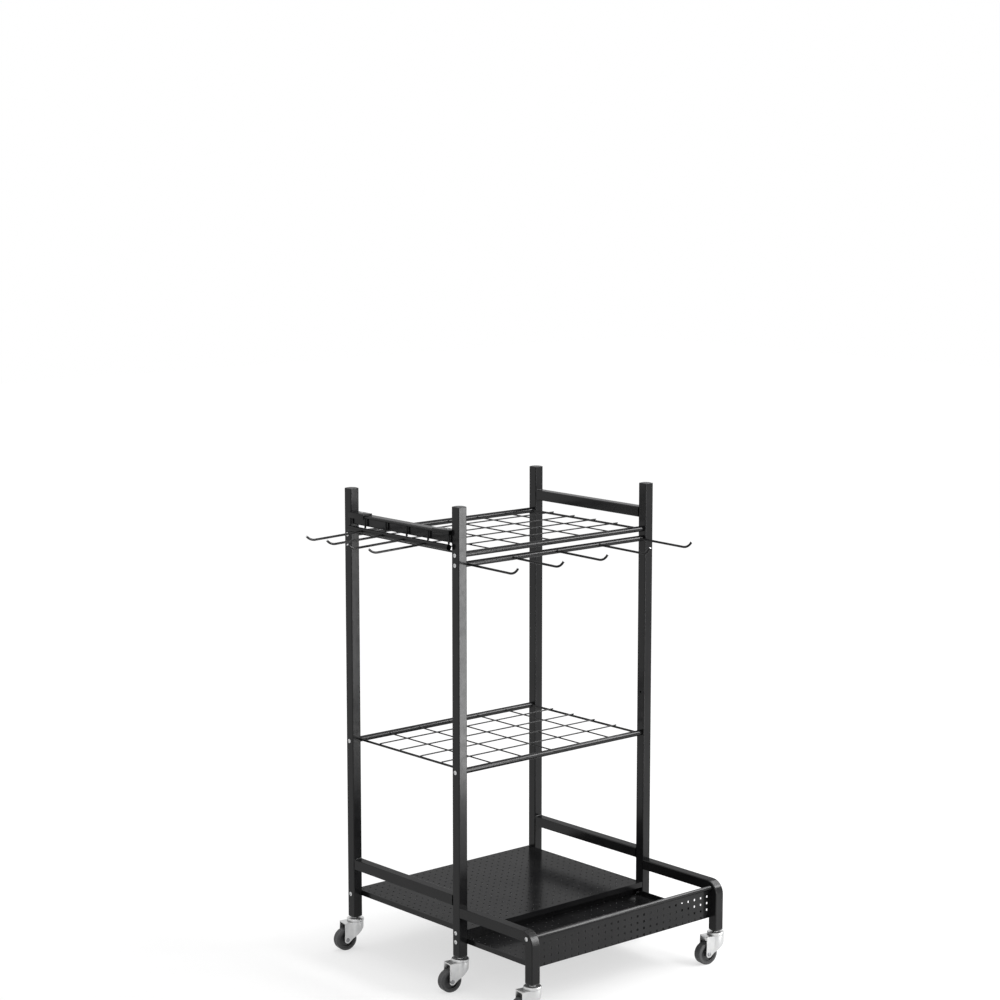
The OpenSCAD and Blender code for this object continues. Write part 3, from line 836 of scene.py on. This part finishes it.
@dataclass
class HookEnds:
    """Bright sawn ends of the hooks: low discs, a little smaller than the wire.

    The ground edge is a share of how far a disc stands proud.
    """

    finishes: Finishes
    proud: float = 0.25 * MM
    inset: float = 0.15 * MM
    ground: float = 0.8
    ground_steps: int = 2
    round_steps: int = 24
    smooth: float = 35.0

    def build(self) -> None:
        """Builds the ends of the front hooks and of the side hooks."""
        for row in (FRONT_HOOKS, SIDE_HOOKS):
            ends = join(scatter(self._disc(row.wire), row.tips()))
            self.finishes.place(
                ends, f"{row.hooks}_ends", ROOT_BODY, Slot.ZINC, self.smooth, self.finishes.cut_end
            )

    def _disc(self, wire: float) -> bpy.types.Object:
        """Models one end.

        Args:
            wire: The wire's diameter.

        Returns:
            The disc.
        """
        bpy.ops.object.select_all(action="DESELECT")
        bpy.ops.mesh.primitive_cylinder_add(
            vertices=self.round_steps, radius=wire / 2 - self.inset, depth=2 * self.proud
        )
        disc = bpy.context.active_object
        bevel = disc.modifiers.new("ground edge", "BEVEL")
        bevel.width = self.proud * self.ground
        bevel.segments = self.ground_steps
        bevel.limit_method = "ANGLE"
        bpy.ops.object.modifier_apply(modifier=bevel.name)
        return disc


@dataclass(frozen=True)
class RibbedTyre:
    """Tyre with round shoulders, three grooves and a step at the hub."""

    rubber: float = 6 * MM
    shoulder: float = 3.2 * MM
    shoulder_steps: int = 6
    groove: float = 0.35 * MM
    groove_places: Triple = (-3.6 * MM, 0.0, 3.6 * MM)
    round_steps: int = 72

    def model(self, radius: float, width: float) -> bpy.types.Object:
        """Models the tyre about +Z.

        Args:
            radius: The wheel's radius.
            width: The wheel's width.

        Returns:
            The tyre.
        """
        half = width / 2
        side = [(radius - self.rubber, -half), (radius - self.shoulder, -half)]
        for step in range(1, self.shoulder_steps):
            turn = pi / 2 * step / self.shoulder_steps
            drop, rise = self.shoulder * (1 - sin(turn)), self.shoulder * (1 - cos(turn))
            side.append((radius - drop, -half + rise))
        tread = []
        for centre in self.groove_places:
            tread += [
                (radius, centre - 2 * self.groove),
                (radius - self.groove, centre - self.groove),
                (radius - self.groove, centre + self.groove),
                (radius, centre + 2 * self.groove),
            ]
        far_side = [(r, -z) for r, z in reversed(side)]
        return spin_profile([*side, *tread, *far_side, side[0]], self.round_steps)


@dataclass(frozen=True)
class DomedAxle:
    """Axle whose shank runs between two domed heads with a small dimple each.

    The dimple's points are shares of the head's radius and, downwards, of the dome.
    """

    shank: float = 3.0 * MM
    head: float = 1.2 * MM
    dome: float = 0.9 * MM
    dome_steps: int = 5
    dimple: tuple[Pair, Pair, Pair] = ((0.26, 0.0), (0.2, 0.28), (0.0, 0.34))
    round_steps: int = 40

    def model(self, radius: float, length: float) -> bpy.types.Object:
        """Models the axle about +Z.

        Args:
            radius: The heads' radius.
            length: The axle's length.

        Returns:
            The axle.
        """
        half = length / 2
        foot = half - self.dome
        profile = [(self.shank, half - self.head), (radius, half - self.head), (radius, foot)]
        for step in range(1, self.dome_steps):
            turn = pi / 2 * step / self.dome_steps
            profile.append((radius * cos(turn), foot + self.dome * sin(turn)))
        profile += [(radius * out, half - self.dome * down) for out, down in self.dimple]
        near_half = [(r, -z) for r, z in reversed(profile)]
        return spin_profile([*near_half, *profile], self.round_steps)


@dataclass
class Casters:
    """Forks with rounded edges, ribbed tyres, and axles with domed heads."""

    finishes: Finishes
    fork_edge: RoundedEdges = RoundedEdges(0.45 * MM, 3)
    tyre: RibbedTyre = RibbedTyre()
    axle: DomedAxle = DomedAxle()
    fork_smooth: float = 40.0
    turned_smooth: float = 50.0

    def build(self) -> None:
        """Builds the pieces of the six casters."""
        tyre_node, axle_node = f"tyre_{CASTER_PLACES[0]}", f"axle_{CASTER_PLACES[0]}"
        line = self._axle_line(CASTER_PLACES[0])
        tyre = self.tyre.model(size(tyre_node).z / 2, self._width(tyre_node, line))
        axle = self.axle.model(size(axle_node).z / 2, self._width(axle_node, line))
        for place in CASTER_PLACES:
            self._dress_fork(place)
            self._dress_tyre(tyre, place)
            self._dress_axle(axle, place)
        bpy.data.objects.remove(tyre)
        bpy.data.objects.remove(axle)

    @staticmethod
    def _axle_line(place: str) -> Vector:
        """Direction of a caster's axle, from the record's joint.

        Args:
            place: The caster's place.

        Returns:
            The direction.
        """
        joint = next(j for j in frame["joints"] if j["name"] == f"roll_{place}")
        return Vector(joint["axis"]).normalized()

    @staticmethod
    def _width(node: str, axis: Vector) -> float:
        """Width of a solid along a direction.

        Args:
            node: The solid's node.
            axis: The direction.

        Returns:
            The width.
        """
        places = [v.co.dot(axis) for v in frame["nodes"][node].data.vertices]
        return max(places) - min(places)

    def _dress_fork(self, place: str) -> None:
        """Rounds the stamped edges of a fork.

        Args:
            place: The caster's place.
        """
        node = f"fork_{place}"
        fork = self.fork_edge.copy_of(node)
        self.finishes.place(
            fork, f"stamped_fork_{place}", f"caster_{place}", Slot.ZINC, self.fork_smooth
        )
        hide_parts(node)

    def _dress_tyre(self, tyre: bpy.types.Object, place: str) -> None:
        """Puts a ribbed tyre on a caster's hub.

        Args:
            tyre: The tyre to copy.
            place: The caster's place.
        """
        node = f"tyre_{place}"
        piece = copy_at(tyre, turn_to(self._axle_line(place), middle(node)))
        self.finishes.place(
            piece, f"ribbed_tyre_{place}", f"wheel_{place}", Slot.TYRE, self.turned_smooth
        )
        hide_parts(node)

    def _dress_axle(self, axle: bpy.types.Object, place: str) -> None:
        """Puts an axle with domed heads through a caster's fork.

        Args:
            axle: The axle to copy.
            place: The caster's place.
        """
        node = f"axle_{place}"
        piece = copy_at(axle, turn_to(self._axle_line(place), middle(node)))
        self.finishes.place(
            piece, f"domed_axle_{place}", f"caster_{place}", Slot.ZINC, self.turned_smooth,
            self.finishes.rivet,
        )
        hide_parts(node)


@dataclass
class CapsAndClips:
    """Post caps and clips with the soft edges of mouldings and pressings."""

    finishes: Finishes
    cap_edge: RoundedEdges = RoundedEdges(0.5 * MM)
    clip_edge: RoundedEdges = RoundedEdges(0.7 * MM, 3)
    smooth: float = 40.0

    def build(self) -> None:
        """Builds the rounded caps and clips."""
        for node, edges, slot in (
            ("post_caps", self.cap_edge, Slot.PLASTIC),
            ("rack_clips", self.clip_edge, Slot.COAT),
        ):
            piece = edges.copy_of(node)
            self.finishes.place(piece, f"rounded_{node}", ROOT_BODY, slot, self.smooth)
            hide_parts(node)


@dataclass(frozen=True)
class SoftBox:
    """Soft box that the camera doesn't see."""

    name: str
    place: Triple
    target: Triple
    side: Pair
    radiance: float

    def build(self) -> None:
        """Adds the lamp and turns it to its target."""
        lamp = bpy.data.lights.new(self.name, "AREA")
        lamp.shape = "RECTANGLE"
        lamp.size, lamp.size_y = self.side
        lamp.energy = self.radiance * pi * self.side[0] * self.side[1]
        item = bpy.data.objects.new(self.name, lamp)
        item.matrix_world = turn_to(Vector(self.place) - Vector(self.target), Vector(self.place))
        item.visible_camera = False
        bpy.context.scene.collection.objects.link(item)


@dataclass
class Stage:
    """Pale floor, white background and soft studio lamps."""

    floor_half: float = 12.0
    floor_tone: float = 0.42
    sky: float = 1.0
    fill: float = 0.58
    glow: Pair = (0.60, 0.78)
    glow_reach: Pair = (0.8, 3.0)

    def build(self) -> None:
        """Builds the floor, the world and the lamps."""
        self._floor()
        self._world()
        self._lamps()

    def _floor(self) -> None:
        """Large pale floor that keeps the rack's shadow and runs out into white."""
        bpy.ops.object.select_all(action="DESELECT")
        bpy.ops.mesh.primitive_plane_add(size=2 * self.floor_half, location=(0, 0, 0))
        floor = bpy.context.active_object
        floor.name = "studio_floor"
        material = bpy.data.materials.new("pale studio floor")
        sheet = NodeSheet(material, "ShaderNodeOutputMaterial")
        tone = self.floor_tone
        matt = sheet.add("ShaderNodeBsdfDiffuse", Color=(tone, tone, tone, 1))
        away = sheet.add("ShaderNodeVectorMath")
        away.operation = "LENGTH"
        sheet.link(sheet.coordinates(), away.inputs[0])
        strength = sheet.ramp(away.outputs["Value"], self.glow_reach, self.glow)
        glow = sheet.add("ShaderNodeEmission", Color=WHITE)
        sheet.link(strength, glow.inputs["Strength"])
        off = sheet.add("ShaderNodeEmission", Color=BLACK, Strength=0.0)
        seen = sheet.choose(sheet.seen_by("Is Camera Ray", "Is Glossy Ray"), off, glow)
        total = sheet.add("ShaderNodeAddShader")
        sheet.link(matt.outputs[0], total.inputs[0])
        sheet.link(seen.outputs[0], total.inputs[1])
        sheet.end(total)
        floor.data.materials.append(material)

    def _world(self) -> None:
        """White background for what is seen, and a softer fill for what is lit."""
        world = bpy.data.worlds.new("white studio")
        bpy.context.scene.world = world
        sheet = NodeSheet(world, "ShaderNodeOutputWorld")
        fill = sheet.add("ShaderNodeBackground", Color=WHITE, Strength=self.fill)
        sky = sheet.add("ShaderNodeBackground", Color=WHITE, Strength=self.sky)
        rays = sheet.seen_by("Is Camera Ray", "Is Glossy Ray", "Is Transmission Ray")
        sheet.end(sheet.choose(rays, fill, sky))

    def _lamps(self) -> None:
        """A strip for the front left post, one for the rolled rim, and three boxes."""
        for box in (
            SoftBox("front strip", (0.725, -1.2, 0.56), (-0.194, -0.079, 0.56), (0.22, 1.0), 13),
            SoftBox("front right box", (1.70, -1.40, 1.66), (0.08, -0.2, 0.4), (0.8, 0.8), 14),
            SoftBox("rim strip", (1.70, -0.30, 1.80), (0.08, -0.30, 0.17), (1.5, 0.5), 7),
            SoftBox("left box", (-2.6, -1.2, 2.2), (0.0, 0.0, 0.5), (1.6, 1.6), 1.0),
            SoftBox("top box", (0.3, 0.4, 3.4), (0.0, 0.0, 0.5), (2.2, 2.2), 1.6),
        ):
            box.build()


@dataclass
class PhotoCamera:
    """Camera at the photograph's viewing angle, upright, looking slightly down, with no shift."""

    azimuth: float = 40.94
    pitch: float = 8.45
    place: Triple = (-3.4935, -4.0024, 1.8266)
    focal_px: float = 2485.8
    image_px: float = 1000.0
    sensor_mm: float = 36.0
    clip: Pair = (0.1, 100.0)

    def build(self) -> None:
        """Makes the scene's camera."""
        data = bpy.data.cameras.new("photo camera")
        data.sensor_width = self.sensor_mm
        data.lens = self.focal_px * self.sensor_mm / self.image_px
        data.clip_start, data.clip_end = self.clip
        camera = bpy.data.objects.new("photo camera", data)
        camera.location = self.place
        camera.rotation_euler = (pi / 2 - radians(self.pitch), 0, -radians(self.azimuth))
        bpy.context.scene.collection.objects.link(camera)
        bpy.context.scene.camera = camera


def main() -> None:
    """Builds the scene in order."""
    logging.basicConfig(level=logging.INFO, format="%(name)s: %(message)s")
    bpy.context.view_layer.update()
    bpy.context.scene.view_settings.view_transform = "Standard"
    PhotoCamera().build()
    Stage().build()
    finishes = Finishes()
    finishes.dress_solids()
    FrameWelds(finishes).build()
    HookEnds(finishes).build()
    Casters(finishes).build()
    CapsAndClips(finishes).build()


if __name__ == "__main__":
    main()
